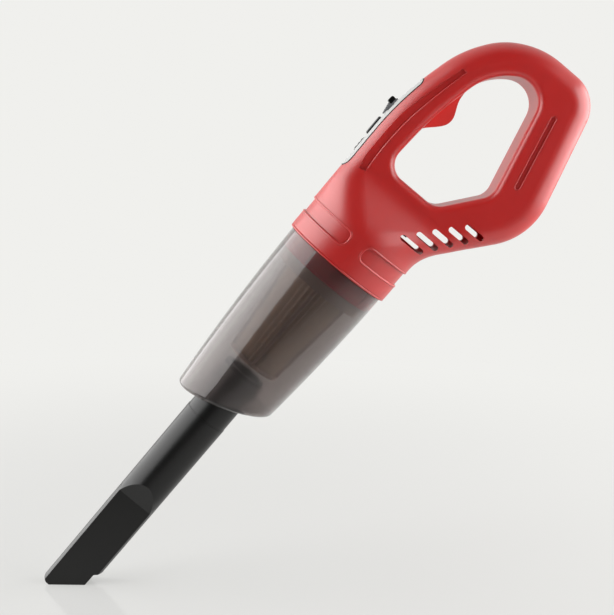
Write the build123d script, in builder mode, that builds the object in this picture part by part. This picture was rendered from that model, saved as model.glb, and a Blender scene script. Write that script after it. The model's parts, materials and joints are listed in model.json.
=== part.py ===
"""Cordless handheld vacuum with a closed loop handle, in millimetres.

The suction axis runs along X: the nozzle points to -X and the handle lies at +X. +Z is up
through the grip, and the two housing shells part on the plane Y = 0. The origin is on the
suction axis, at the front face of the collar, where the dust cup seats.
"""

from build123d import *
from math import asin, atan2, cos, pi, radians, sin, sqrt, tan
import os

os.makedirs("parts", exist_ok=True)

# ---------------------------------------------------------------- driving dimensions

# Housing: a round barrel that narrows into a flat loop handle
wall = 2.2
barrel_radius = 29.5
barrel_straight = 17.8          # length of the round collar before it narrows
neck_x = 46.0                   # where the barrel has become as thin as the handle
neck_step = 0.08                # the barrel's end stays this far inside the handle
smallest_flat = 0.05            # flats of the round collar's section, for the loft
neck_overlap = 1.0
handle_half = 16.5              # half of the handle's thickness
handle_round = 10.0             # radius of the handle's outer edges
loop_round = 3.5                # radius of the edges round the finger opening
front_edge_bevel = 0.7
crown_z = barrel_radius

# Outline of the handle seen from the side: (x, depth below the crown, corner radius)
handle_corners = [
    (81.0, 0.0, 150.0),
    (115.2, 8.6, 55.0),
    (132.5, 20.7, 38.0),
    (142.1, 38.8, 42.0),
    (142.1, 73.6, 18.5),
    (69.9, 93.4, 34.0),
]
belly_x = 28.3                  # where the underside turns down towards the handle
belly_radius = 22.0

# Finger opening inside the loop, in the same terms
loop_corners = [
    (51.0, 17.0, 9.0),
    (82.9, 18.6, 150.0),
    (115.4, 25.9, 30.0),
    (126.0, 41.1, 12.3),
    (121.6, 53.3, 12.3),
    (73.0, 64.9, 9.0),
    (51.0, 47.6, 10.0),
]

# Air slots through both sides, parallel to the underside
vent_count = 5
vent_width = 2.9
vent_pitch = 5.9
vent_first = (30.5, -20.6)      # x and z of the middle of the first slot
vent_first_length = 14.0
vent_taper = 0.7                # each slot is this much shorter than the one before
vent_drop = 4.95

# Recessed grip pads round the collar
pad_x = 8.8
pad_width = 8.6
pad_end_z = 4.2
pad_corner = 3.5
pad_depth = 0.8

# Sculpted channel along each side of the grip, and the groove in the lower bar
channel_depth = 1.0
channel_upper = [(42.0, 7.1), (59.5, 5.1), (74.0, 6.1), (88.7, 9.1), (109.0, 14.5)]
channel_lower = [(109.0, 17.4), (88.7, 13.2), (74.0, 10.9), (59.5, 10.1), (43.0, 10.6)]
bar_groove_length = 39.0
bar_groove_width = 3.2
bar_groove_depth = 0.9
bar_groove_middle = (101.3, -37.5)
bar_groove_tilt = 13.1          # degrees from upright

# Top inlay with its window, lenses and thumb slider
panel_start = 38.5
panel_end = 94.0
panel_half = 11.5
panel_thickness = 1.8
panel_corner = 3.5
ledge_thickness = 1.5
ledge_width = 2.0
window_x = 62.5
window_length = 10.4
window_width = 9.0
window_proud = 1.2
window_round = 1.2
lens_x = (48.9, 51.2, 53.5)
lens_radius = 0.9
lens_proud = 0.5
slider_x = 74.6
slider_length = 9.8
slider_width = 9.0
slider_travel = 4.5
ramp_low = 0.9                  # heights on the slider, above the crown
ramp_top = 2.5
ramp_grooves = 4
groove_width = 0.5
groove_depth = 0.35
knob_start = 0.8                # from the slider's middle
knob_length = 3.4
knob_seat = 1.1
knob_top = 3.5

# Spigot, fan and motor on the suction axis
spigot_length = 10.0
spigot_radius = 26.2
spigot_wall = 3.4
pocket_count = 7
pocket_first = 15.5             # degrees from the left side
pocket_size = (8.0, 13.0)
pocket_depth = 1.3
pocket_corner = 1.5
spigot_round = 0.8
aperture_radius = 12.0
front_plate = 1.6
rib_width = 1.8
flange_x = 5.0
flange_thickness = 2.0
mount_thickness = 2.0
air_holes = 12
air_hole_radius = 3.0
air_hole_circle = 19.5
impeller_radius = 21.5
impeller_blades = 9
impeller_back = 4.0
backplate = 1.4
blade_height = 8.0
blade_thickness = 1.2
hub_radius = 4.2
motor_radius = 13.8
motor_length = 32.0
motor_wall = 1.2
motor_boss_radius = 5.0
motor_boss_height = 1.0
motor_screw_circle = 8.0
magnet_start = 4.0              # from the can's front
magnet_length = 22.0
magnet_gap = 0.6
armature_radius = 10.0
armature_start = 5.0            # from the can's front
armature_length = 16.0
armature_slots = 5
coil_end = 2.2
commutator_length = 4.5
cap_depth = 3.0
terminal_size = (0.5, 3.0)
terminal_length = 8.0
shaft_start = -4.6
bush_radius = 3.0
shaft_radius = 1.15
damper_x = 33.3                 # middle of the rubber ring round the motor
damper_flange = (2.3, 1.6)       # half length of the ring, and its flanges' height
damper_radius = 16.4

# Dust cup, filter and nozzle
cup_wall = 1.65
cup_rim_x = -1.0
cup_rim_radius = 28.0
cup_middle = (-50.0, 26.45)     # x and radius half way along the cup
cup_front = (-103.0, 22.3)      # x and radius just past the slanted front
cup_front_top = (-98.5, 22.8)   # x and z where the slanted front meets the top of the cup
cup_front_slant = 19.7          # degrees from square
cup_front_thickness = 2.0
cup_rim_round = 2.2
cup_notch = (8.0, 12.0)         # length and width of the notch under the rim
sleeve_end = -74.0
sleeve_wall = 1.8
filter_flange_radius = 24.0
filter_flange = 4.0
filter_length = 49.0
filter_base_radius = 17.5
filter_tip_radius = 12.8
filter_bore = 10.2
filter_ribs = 4
cage_height = 1.5
cage_width = 1.6
filter_cap = 1.6
filter_pleats = 32
pleat_depth = 2.2
seal_thickness = 1.8
seal_inset = 2.0                # the filter's ring stands back this far from the spigot's hole
seal_x = -77.0                  # ring in the nozzle's groove
seal_width = 1.8
groove_depth_seal = 1.0
nozzle_radius = 11.5
nozzle_tip_radius = 11.1
nozzle_spigot_radius = 11.3
nozzle_wall = 1.7
nozzle_inner_end = -72.0
nozzle_shoulder = -103.0
nozzle_tip = -223.0
flat_half = 5.4                 # half of the nozzle's thickness between its flats
flat_start = -147.5
flat_full = -160.0
nozzle_mouth = [                # what the slanted mouth removes, from the side
    (-250.0, 6.3), (-223.0, 6.3), (-211.0, -8.1), (-204.0, -8.2), (-201.6, -10.7), (-201.6, -20.0),
    (-250.0, -20.0),
]
nose_round = 1.8

# Trigger and the parts behind it
trigger_half = 7.0
trigger_slot = (75.4, 105.0)    # from x to x in the underside of the grip
trigger_front = 76.0
trigger_blade = [               # lower edge, from front to back
    (76.0, 11.0), (79.6, 7.8), (82.5, 4.9), (84.9, 3.2), (88.5, 2.5),
    (92.4, 3.7), (97.3, 5.8), (101.0, 6.3), (104.0, 6.4),
]
trigger_top = 12.8
trigger_front_top = 14.4
trigger_ramp = 0.6              # length of the step up to the lip
trigger_back = (1.0, 2.5)       # heights above the pin of the chamfered back corner
trigger_lip = (3.2, 13.95, 15.0)    # length, underside and top of the lip that stops the trigger
trigger_round = 1.5
trigger_floor = 7.5             # height of the hollows' floor
trigger_hollow = (7.0, 4.0)
trigger_hollow_x = 92.0
pin_x, pin_drop = 101.0, 17.5   # the trigger's pin, from the origin and below the crown
pin_radius = 1.5
pin_hold = 4.8                  # length of the pin in each shell's boss
spring_x = 81.0
spring_floor = 9.0
spring_drop = 2.0               # the spring's upper seat is this far below the board
spring_rib_length = 6.3
spring_radius = 2.1
spring_wire = 0.3
spring_turns = 5
board_drop = 8.3                # top face of the control board below the crown
board_thickness = 1.2
board_start, board_end = 47.0, 92.0
board_half = 9.0
board_corner = 1.5
board_hole = (6.5, 1.1)         # distance from the middle, and radius, of its two front holes
board_ledge_x = (51.0, 91.0)
board_ledge = (4.0, 1.8)        # length and height
micro_size = (12.8, 6.4, 4.4)
micro_start = 86.0
plunger_x = 88.0
switch_size = (12.0, 5.2, 2.8)
stem = (4.4, 3.4)               # the slider's stem, along and across
stem_depth = 3.9
lever_size = (1.6, 1.8, 3.6)
lever_lift = 1.6                # height of the lever's foot above the board
plunger_length = 0.8
plunger_radius = 1.0
micro_holes = ((87.2, 1.5), (93.7, 1.5))     # x, and depth under the board
micro_hole_radius = 0.9
led_size = (1.6, 0.8, 0.8)
ledge_hold = 1.2                # the boards lie on their ledges by this much

# Battery and charging
cell_radius = 9.2
cell_length = 49.8
cell_middle_x = 102.5
cell_cap = 0.8
contact_thickness = 0.6
holder_wall = 1.25
port_drop = 51.5
port_size = (7.3, 9.0, 3.2)
socket_inset = 0.5
socket_wall = 0.35
charge_board = (127.6, 139.5)
charge_half = 8.0
charge_ledge_x = 133.5
charge_ledge = (10.0, 1.8)      # length and height

# Screws
screw_points = [
    (23.0, 21.0), (23.0, -21.0), (57.3, 16.8), (113.0, 12.2), (133.4, -11.5), (65.0, -44.0),
]
boss_radius = 3.0
screw_seat = 4.5                # the screw heads seat this far from the parting plane
head_radius = 2.4
head_thickness = 1.8
screw_radius = 1.2
screw_length = 11.0
drill_over = 1.0                # the screws' holes are this much deeper than the screws

# Clearances
running = 0.05                  # radial, for a shaft or pin in its hole
push_fit = 0.15                 # radial, for the cup and the filter sleeve
gap = 0.2                       # between faces that move past each other
seat_gap = 0.1

# ---------------------------------------------------------------- shared geometry

side = Plane.XZ                 # local (x, y) are X and Z; its normal is -Y


def below_crown(points):
    """Turn (x, depth below the crown, radius) into points and radii."""
    return [(x, crown_z - depth) for x, depth, _ in points], [r for _, _, r in points]


outline_points, outline_radii = below_crown(handle_corners)
loop_points, loop_radii = below_crown(loop_corners)
belly_angle = atan2(
    -barrel_radius - outline_points[-1][1], outline_points[-1][0] - belly_x
)
belly_start = belly_x - belly_radius * tan(belly_angle / 2)


def underside(x, inset):
    """Height of the housing's underside at x, moved inwards by inset."""
    radius = belly_radius + inset
    centre_z = -barrel_radius - belly_radius
    if x <= belly_start:
        return -barrel_radius + inset
    if x <= belly_start + radius * sin(belly_angle):
        return centre_z + sqrt(radius**2 - (x - belly_start) ** 2)
    end_x = belly_start + radius * sin(belly_angle)
    return centre_z + radius * cos(belly_angle) - (x - end_x) * tan(belly_angle)


def barrel_section(x, inset):
    """The housing's section at x: a circle at the collar, a rounded slab at the neck.

    Four quarter ellipses are joined by flats, which grow from almost nothing at the collar.
    """
    share = min(max((x - barrel_straight) / (neck_x - barrel_straight), 0.0), 1.0)
    blend = share * share * (3 - 2 * share)
    inset += neck_step * blend
    half = barrel_radius + (handle_half - barrel_radius) * blend - inset
    top = crown_z - inset
    bottom = underside(x, inset)
    end_corner = handle_round - inset
    full_height = (top - bottom) / 2
    corner_y = half - smallest_flat + (end_corner - half) * blend
    corner_top = full_height - smallest_flat + (end_corner - full_height) * blend
    corner_low = full_height - smallest_flat + (end_corner / cos(belly_angle) - full_height) * blend
    flat_y, low_z, high_z = half - corner_y, bottom + corner_low, top - corner_top
    with BuildSketch(Plane.YZ.offset(x)) as section:
        with BuildLine():
            Line((half, low_z), (half, high_z))
            EllipticalCenterArc((flat_y, high_z), corner_y, corner_top, 0, arc_size=90)
            Line((flat_y, top), (-flat_y, top))
            EllipticalCenterArc((-flat_y, high_z), corner_y, corner_top, 90, arc_size=90)
            Line((-half, high_z), (-half, low_z))
            EllipticalCenterArc((-flat_y, low_z), corner_y, corner_low, 180, arc_size=90)
            Line((-flat_y, bottom), (flat_y, bottom))
            EllipticalCenterArc((flat_y, low_z), corner_y, corner_low, 270, arc_size=90)
        make_face()
    return section.sketch


def housing_form(inset, start_x, loop_growth, front_bevel, loop_edge_round):
    """The housing's outer form moved inwards by inset, with the finger opening grown."""
    narrowing = neck_x - barrel_straight
    stations = [barrel_straight + narrowing * k / 7 for k in (0, 0.5, 1, 2, 3, 4, 5, 6, 7)]
    stations += [neck_x + neck_overlap]
    with BuildPart() as barrel:
        for x in stations:
            add(barrel_section(x, inset))
        loft()
        extrude(barrel.faces().sort_by(Axis.X)[0], amount=barrel_straight - start_x)
        if front_bevel > 0:
            bevel_rim = barrel_radius - front_bevel
            with BuildSketch(Plane.XY):
                with BuildLine():
                    Polyline(
                        (start_x - 1, bevel_rim - 1), (start_x + front_bevel + 1, barrel_radius + 1),
                        (start_x - 1, barrel_radius + 1), close=True,
                    )
                make_face()
            revolve(axis=Axis.X, mode=Mode.SUBTRACT)

    with BuildPart() as handle:
        with BuildSketch(side):
            with BuildLine():
                FilletPolyline(
                    (0, crown_z), *outline_points, (belly_x, -barrel_radius), (0, -barrel_radius),
                    radius=[0] + outline_radii + [belly_radius, 0],
                    close=True,
                )
            make_face()
            if inset > 0:
                offset(amount=-inset, kind=Kind.INTERSECTION)
        extrude(amount=handle_half - inset, both=True)
        for end in (handle.faces().sort_by(Axis.Y)[0], handle.faces().sort_by(Axis.Y)[-1]):
            rim = [edge for edge in end.edges() if edge.center().X > neck_x / 3]
            fillet(rim, handle_round - inset)
        split(bisect_by=Plane.YZ.offset(neck_x), keep=Keep.TOP)
        with BuildSketch(side):
            with BuildLine():
                FilletPolyline(*loop_points, radius=loop_radii, close=True)
            make_face()
            if loop_growth > 0:
                offset(amount=loop_growth)
        extrude(amount=2 * handle_half, both=True, mode=Mode.SUBTRACT)
        if loop_edge_round > 0:
            for end in (Axis.Y, -Axis.Y):
                flat = handle.faces().filter_by(Plane.XZ).sort_by(end)[-1]
                fillet(flat.inner_wires()[0].edges(), loop_edge_round)

    with BuildPart() as form:
        add(barrel.part)
        add(handle.part)
    return form.part


outer_form = housing_form(0, 0.0, 0, front_edge_bevel, loop_round)
inner_form = housing_form(wall, -1.0, wall, 0, 0)


first_fall = atan2(outline_points[0][1] - outline_points[1][1], outline_points[1][0] - outline_points[0][0])
bend_start = outline_points[0][0] - outline_radii[0] * tan(first_fall / 2)


def crown_height(x):
    """Height of the crown's middle line: level, then falling round the first corner."""
    if x <= bend_start:
        return crown_z
    return crown_z - outline_radii[0] + sqrt(outline_radii[0] ** 2 - (x - bend_start) ** 2)


def turned(points):
    """Closed profile of (x, radius) points, ready to revolve about the suction axis."""
    with BuildSketch(Plane.XY) as profile:
        with BuildLine():
            Polyline(*points, close=True)
        make_face()
    return profile.sketch


barrel_bore = barrel_radius - wall
flange_radius = barrel_bore - seat_gap
spigot_neck = flange_radius - 2.1
spigot_bore = spigot_radius - spigot_wall
mount_x = flange_x + flange_thickness
motor_x = mount_x + mount_thickness
rib_stations = [flange_x - seat_gap - rib_width, mount_x + mount_thickness + seat_gap]

board_top = crown_z - board_drop
board_bottom = board_top - board_thickness
pin_z = crown_z - pin_drop
port_z = crown_z - port_drop
handle_end = outline_points[3][0]
charge_board_top = port_z - port_size[2] / 2 - running
spring_seat = board_bottom - spring_drop

# ---------------------------------------------------------------- housing shells


def panel_plan(growth):
    """The inlay's outline seen from above, grown on every side."""
    with BuildSketch(Plane.XY.offset(pin_z)) as plan:
        with Locations(((panel_start + panel_end) / 2, 0)):
            RectangleRounded(
                panel_end - panel_start + 2 * growth, 2 * (panel_half + growth), panel_corner + growth
            )
    return plan.sketch


def lowered_form(depth):
    """The housing's outer form, lowered, as the floor of whatever is let into the crown."""
    return outer_form.moved(Location((0, 0, -depth)))


with BuildPart() as panel_recess:
    add(panel_plan(seat_gap))
    extrude(amount=2 * barrel_radius)
    add(lowered_form(panel_thickness + seat_gap), mode=Mode.SUBTRACT)

with BuildPart() as panel_ledge:
    add(panel_plan(ledge_width))
    extrude(amount=2 * barrel_radius)
    add(lowered_form(panel_thickness + seat_gap), mode=Mode.INTERSECT)
    add(lowered_form(panel_thickness + seat_gap + ledge_thickness), mode=Mode.SUBTRACT)

# The hollow inside the shells, less the ribs, bosses and ledges that stand in it
with BuildPart() as cavity:
    add(inner_form)
    add(panel_ledge.part, mode=Mode.SUBTRACT)
    for x, radius in zip(rib_stations, (spigot_neck + seat_gap, spigot_neck)):
        with BuildSketch(Plane.YZ.offset(x)):
            Circle(barrel_radius)
            Circle(radius, mode=Mode.SUBTRACT)
        extrude(amount=rib_width, mode=Mode.SUBTRACT)
    # Motor cradle: a ring on four spokes round the rubber ring
    with BuildSketch(Plane.YZ.offset(damper_x - rib_width / 2)):
        Circle(damper_radius + 2)
        with PolarLocations(0, 2, start_angle=45, angular_range=180):
            Rectangle(4 * barrel_radius, 2.5 * rib_width)
        Circle(damper_radius + seat_gap, mode=Mode.SUBTRACT)
    extrude(amount=rib_width, mode=Mode.SUBTRACT)
    # Screw bosses
    with BuildSketch(side):
        with Locations(*screw_points):
            Circle(boss_radius)
    extrude(amount=barrel_radius, both=True, mode=Mode.SUBTRACT)
    # Bosses for the trigger's pin, one on each shell
    for plane in (side.offset(trigger_half + 3 * gap), side.offset(-trigger_half - 3 * gap)):
        outward = 1 if plane.origin.Y < 0 else -1
        with BuildSketch(plane):
            with Locations((pin_x, pin_z)):
                Circle(2 * pin_radius)
        extrude(amount=outward * handle_half, mode=Mode.SUBTRACT)
    # Cross rib that the trigger's spring pushes against
    with BuildSketch(side):
        with Locations((spring_x, (spring_seat + board_bottom - gap) / 2)):
            Rectangle(spring_rib_length, spring_drop - gap)
    extrude(amount=barrel_radius, both=True, mode=Mode.SUBTRACT)
    # Ledges under the control board and the charging board
    with BuildSketch(side):
        for x in board_ledge_x:
            with Locations((x, board_bottom - board_ledge[1] / 2)):
                Rectangle(*board_ledge)
        with Locations((charge_ledge_x, charge_board_top - board_thickness - charge_ledge[1] / 2)):
            Rectangle(*charge_ledge)
    extrude(amount=barrel_radius, both=True, mode=Mode.SUBTRACT)
    with BuildSketch(side):
        for x in board_ledge_x:
            with Locations((x, board_bottom - board_ledge[1] / 2)):
                Rectangle(*board_ledge)
    extrude(amount=board_half - ledge_hold, both=True)
    with BuildSketch(side):
        with Locations((charge_ledge_x, charge_board_top - board_thickness - charge_ledge[1] / 2)):
            Rectangle(*charge_ledge)
    extrude(amount=charge_half - ledge_hold, both=True)

with BuildPart() as pads:
    with BuildSketch(side):
        with Locations(
            (pad_x + pad_width / 2, pad_end_z + barrel_radius),
            (pad_x + pad_width / 2, -pad_end_z - barrel_radius),
        ):
            RectangleRounded(pad_width, 2 * barrel_radius, pad_corner)
    extrude(amount=1.1 * barrel_radius, both=True)
    with BuildSketch(Plane.YZ):
        Circle(barrel_radius - pad_depth)
    extrude(amount=2 * barrel_straight, mode=Mode.SUBTRACT)

with BuildPart() as housing:
    add(outer_form)
    add(cavity.part, mode=Mode.SUBTRACT)
    add(panel_recess.part, mode=Mode.SUBTRACT)
    add(pads.part, mode=Mode.SUBTRACT)
    # Air slots, each shorter and lower than the one in front of it
    with BuildSketch(side):
        for number in range(vent_count):
            middle = (vent_first[0] + number * vent_pitch, vent_first[1] - number * vent_drop)
            with Locations(middle):
                SlotOverall(vent_first_length - number * vent_taper, vent_width, rotation=90)
    extrude(amount=barrel_radius, both=True, mode=Mode.SUBTRACT)
    # Channel along each side of the grip
    for sign in (1, -1):
        with BuildSketch(side.offset(sign * (handle_half - channel_depth))):
            with BuildLine():
                upper = Spline(*[(x, crown_z - depth) for x, depth in channel_upper])
                lower = Spline(*[(x, crown_z - depth) for x, depth in channel_lower])
                Line(upper @ 1, lower @ 0)
                Line(lower @ 1, upper @ 0)
            make_face()
        extrude(amount=sign * handle_half, mode=Mode.SUBTRACT)
        with BuildSketch(side.offset(sign * (handle_half - bar_groove_depth))):
            with Locations(bar_groove_middle):
                SlotOverall(bar_groove_length, bar_groove_width, rotation=bar_groove_tilt)
        extrude(amount=sign * handle_half, mode=Mode.SUBTRACT)
    # Slot in the underside of the grip for the trigger
    with BuildSketch(Plane.XY):
        with Locations(((trigger_slot[0] + trigger_slot[1]) / 2, 0)):
            Rectangle(trigger_slot[1] - trigger_slot[0], 2 * (trigger_half + gap))
    extrude(amount=pin_z + wall, mode=Mode.SUBTRACT)
    # Holes for the trigger's pin
    with BuildSketch(side):
        with Locations((pin_x, pin_z)):
            Circle(pin_radius + running / 2)
    extrude(amount=trigger_half + pin_hold + gap, both=True, mode=Mode.SUBTRACT)
    # Opening for the charging socket
    with BuildSketch(Plane.YZ.offset(handle_end - 2 * wall)):
        with Locations((0, port_z)):
            SlotOverall(port_size[1] + 2 * gap, port_size[2] + 2 * gap)
    extrude(amount=4 * wall, mode=Mode.SUBTRACT)
    # Slots under the inlay: light wells and the slider's stem
    with BuildSketch(Plane.XY.offset(board_top + 1)):
        with Locations((window_x, 0)):
            Rectangle(0.6 * window_length, 0.6 * window_width)
        for x in lens_x:
            with Locations((x, 0)):
                Circle(lens_radius - gap)
        with Locations((slider_x + slider_travel / 2, 0)):
            Rectangle(stem[0] + slider_travel + 4 * gap, stem[1] + 3 * gap)
    extrude(amount=2 * board_drop, mode=Mode.SUBTRACT)

with BuildPart() as left_shell:
    add(housing.part)
    split(bisect_by=Plane.XZ, keep=Keep.TOP)
    with Locations(*[Plane((x, 0, z), z_dir=(0, 1, 0)) for x, z in screw_points]):
        Hole(screw_radius + running, depth=screw_length - screw_seat + drill_over)
left_shell.part.label = "left_shell"

with BuildPart() as right_shell:
    add(housing.part)
    split(bisect_by=Plane.XZ, keep=Keep.BOTTOM)
    for x, z in screw_points:
        with BuildSketch(Plane((x, 0, z), z_dir=(0, 1, 0))):
            Circle(screw_radius + gap)
        extrude(amount=barrel_radius, mode=Mode.SUBTRACT)
        with BuildSketch(Plane((x, screw_seat, z), z_dir=(0, 1, 0))):
            Circle(head_radius + gap)
        extrude(amount=barrel_radius, mode=Mode.SUBTRACT)
right_shell.part.label = "right_shell"

export_step(left_shell.part, "parts/left_shell.step")
export_step(right_shell.part, "parts/right_shell.step")

# ---------------------------------------------------------------- inlay, window and slider

with BuildPart() as top_panel:
    add(panel_plan(0))
    extrude(amount=2 * barrel_radius)
    add(outer_form, mode=Mode.INTERSECT)
    add(lowered_form(panel_thickness), mode=Mode.SUBTRACT)
    with BuildSketch(Plane.XY.offset(board_top)):
        with Locations((window_x, 0)):
            RectangleRounded(
                window_length + 2 * seat_gap, window_width + 2 * seat_gap, window_round + seat_gap
            )
        for x in lens_x:
            with Locations((x, 0)):
                Circle(lens_radius + seat_gap)
        with Locations((slider_x + slider_travel / 2, 0)):
            Rectangle(stem[0] + slider_travel + 4 * gap, stem[1] + 3 * gap)
    extrude(amount=2 * board_drop, mode=Mode.SUBTRACT)
top_panel.part.label = "top_panel"
export_step(top_panel.part, "parts/top_panel.step")

with BuildPart() as gauge_window:
    with BuildSketch(Plane.XY.offset(crown_z - panel_thickness)):
        with Locations((window_x, 0)):
            RectangleRounded(window_length, window_width, window_round)
    extrude(amount=panel_thickness + window_proud)
    fillet(gauge_window.faces().sort_by(Axis.Z)[-1].edges(), 0.75 * window_proud)
gauge_window.part.label = "gauge_window"
export_step(gauge_window.part, "parts/gauge_window.step")

with BuildPart() as indicator_lenses:
    with BuildSketch(Plane.XY.offset(crown_z - panel_thickness)):
        for x in lens_x:
            with Locations((x, 0)):
                Circle(lens_radius)
    extrude(amount=panel_thickness + lens_proud)
    fillet(indicator_lenses.edges().group_by(Axis.Z)[-1], 0.8 * lens_proud)
indicator_lenses.part.label = "indicator_lenses"
export_step(indicator_lenses.part, "parts/indicator_lenses.step")

# The slider runs along the tangent to the crown at the middle of its travel
slide_middle = slider_x + slider_travel / 2
slide_tilt = asin((slide_middle - bend_start) / outline_radii[0])
slide_z = crown_height(slide_middle) + slider_travel / 2 * tan(slide_tilt)
slide_plane = Plane(
    origin=(slider_x, 0, slide_z), x_dir=(cos(slide_tilt), 0, -sin(slide_tilt)), z_dir=(0, -1, 0),
)
lever_x = slider_x - stem_depth * sin(slide_tilt)
lever_low = board_top + lever_lift
ramp_run = knob_start + slider_length / 2

with BuildPart() as thumb_slider:
    with BuildSketch(slide_plane):
        with BuildLine():
            FilletPolyline(
                (-slider_length / 2, gap), (slider_length / 2, gap), (slider_length / 2, knob_seat),
                (knob_start, knob_seat), (knob_start, ramp_top), (-slider_length / 2, ramp_low),
                radius=[0, 0, 0.3, 0, 0.5, 0.4], close=True,
            )
        make_face()
    extrude(amount=slider_width / 2, both=True)
    # Grip grooves across the ramp
    with BuildSketch(slide_plane):
        for number in range(ramp_grooves):
            share = (number + 1) / (ramp_grooves + 1)
            middle = (share * ramp_run - slider_length / 2, ramp_low + share * (ramp_top - ramp_low))
            with Locations(middle):
                Rectangle(groove_width, 2 * groove_depth)
    extrude(amount=slider_width, both=True, mode=Mode.SUBTRACT)
    with BuildSketch(slide_plane):
        with Locations((0, (2 * gap - stem_depth) / 2)):
            Rectangle(stem[0], stem_depth + 2 * gap)
    extrude(amount=stem[1] / 2, both=True)
    with BuildSketch(Plane.XY.offset(lever_low)):
        with Locations((lever_x, 0)):
            Rectangle(lever_size[0] + 2 * running, lever_size[1] + 2 * running)
    extrude(amount=lever_size[2] + seat_gap, mode=Mode.SUBTRACT)
thumb_slider.part.label = "thumb_slider"
export_step(thumb_slider.part, "parts/thumb_slider.step")

with BuildPart() as slider_knob:
    with BuildSketch(slide_plane):
        with Locations((knob_start + seat_gap + knob_length / 2, (knob_seat + knob_top) / 2)):
            Rectangle(knob_length, knob_top - knob_seat)
    extrude(amount=slider_width / 2 - 2 * gap, both=True)
    rim = slider_knob.edges().filter_by(Axis.Y).sort_by(Axis.Z)[-2:]
    fillet(rim, knob_length / 4)
slider_knob.part.label = "slider_knob"
export_step(slider_knob.part, "parts/slider_knob.step")

with BuildPart() as switch_lever:
    with BuildSketch(Plane.XY.offset(lever_low)):
        with Locations((lever_x, 0)):
            Rectangle(lever_size[0], lever_size[1])
    extrude(amount=lever_size[2])
switch_lever.part.label = "switch_lever"
export_step(switch_lever.part, "parts/switch_lever.step")

with BuildPart() as slide_switch:
    with Locations((slide_middle, 0, board_top)):
        Box(*switch_size, align=(Align.CENTER, Align.CENTER, Align.MIN))
    with BuildSketch(Plane.XY.offset(lever_low - 3 * gap)):
        with Locations((lever_x + slider_travel / 2, 0)):
            Rectangle(lever_size[0] + slider_travel + 2 * gap, lever_size[1] + 2 * gap)
    extrude(amount=switch_size[2], mode=Mode.SUBTRACT)
slide_switch.part.label = "slide_switch"
export_step(slide_switch.part, "parts/slide_switch.step")

# ---------------------------------------------------------------- trigger and electronics

with BuildPart() as trigger:
    with BuildSketch(side):
        with BuildLine():
            blade = Spline(*trigger_blade)
            Polyline(
                blade @ 1, (trigger_blade[-1][0], pin_z + trigger_back[0]),
                (trigger_blade[-1][0] - 2, pin_z + trigger_back[1]),
                (pin_x - 1, pin_z + trigger_back[1]), (pin_x - 2 * pin_radius, trigger_top),
                (spring_x + spring_rib_length / 2, trigger_top),
                (spring_x + spring_rib_length / 2, trigger_front_top),
                (trigger_front + trigger_ramp, trigger_front_top), (trigger_front, trigger_lip[2]),
                (trigger_front - trigger_lip[0], trigger_lip[2]),
                (trigger_front - trigger_lip[0], trigger_lip[1]), (trigger_front, trigger_lip[1]),
                blade @ 0,
            )
        make_face()
    extrude(amount=trigger_half, both=True)
    lower = trigger.faces().filter_by(GeomType.BSPLINE) or trigger.faces().sort_by(Axis.Z)[:1]
    fillet(lower[0].edges().filter_by(Plane.XZ), trigger_round)
    with BuildSketch(side):
        with Locations((pin_x, pin_z)):
            Circle(pin_radius + running)
    extrude(amount=trigger_half, both=True, mode=Mode.SUBTRACT)
    with BuildSketch(Plane.XY.offset(spring_floor)):
        with Locations((spring_x, 0)):
            Circle(spring_radius + 2 * gap)
    extrude(amount=barrel_radius, mode=Mode.SUBTRACT)
    # Hollows each side of the rib that presses the switch
    with BuildSketch(Plane.XY.offset(trigger_floor)):
        for across in (-1, 1):
            with Locations((trigger_hollow_x, across * (trigger_half / 2 + 0.3))):
                RectangleRounded(trigger_hollow[0], trigger_hollow[1], 1)
    extrude(amount=barrel_radius, mode=Mode.SUBTRACT)
trigger.part.label = "trigger"
export_step(trigger.part, "parts/trigger.step")

with BuildPart() as trigger_pin:
    with BuildSketch(side):
        with Locations((pin_x, pin_z)):
            Circle(pin_radius)
    extrude(amount=trigger_half + pin_hold, both=True)
    chamfer(trigger_pin.edges().filter_by(GeomType.CIRCLE), 0.3)
trigger_pin.part.label = "trigger_pin"
export_step(trigger_pin.part, "parts/trigger_pin.step")

spring_height = spring_seat - spring_floor - 2 * running - spring_wire * 2
with BuildPart() as trigger_spring:
    with BuildLine() as coil:
        Helix(
            pitch=spring_height / spring_turns, height=spring_height, radius=spring_radius - spring_wire,
            center=(spring_x, 0, spring_floor + running + spring_wire),
        )
    with BuildSketch(Plane(origin=coil.line @ 0, z_dir=coil.line % 0)):
        Circle(spring_wire)
    sweep(path=coil.line, is_frenet=True)
trigger_spring.part.label = "trigger_spring"
export_step(trigger_spring.part, "parts/trigger_spring.step")

with BuildPart() as micro_switch:
    with Locations((micro_start, 0, board_bottom)):
        Box(*micro_size, align=(Align.MIN, Align.CENTER, Align.MAX))
    with BuildSketch(side):
        with Locations(*[(x, board_bottom - depth) for x, depth in micro_holes]):
            Circle(micro_hole_radius)
    extrude(amount=micro_size[1], both=True, mode=Mode.SUBTRACT)
    with BuildSketch(Plane.XY.offset(board_bottom - micro_size[2])):
        with Locations((plunger_x, 0)):
            Circle(plunger_radius)
    extrude(amount=-plunger_length)
micro_switch.part.label = "micro_switch"
export_step(micro_switch.part, "parts/micro_switch.step")

with BuildPart() as control_board:
    with BuildSketch(Plane.XY.offset(board_bottom)):
        with Locations(((board_start + board_end) / 2, 0)):
            RectangleRounded(board_end - board_start, 2 * board_half, board_corner)
        with Locations(*[(board_ledge_x[0], across * board_hole[0]) for across in (-1, 1)]):
            Circle(board_hole[1], mode=Mode.SUBTRACT)
    extrude(amount=board_thickness)
control_board.part.label = "control_board"
export_step(control_board.part, "parts/control_board.step")

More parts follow.
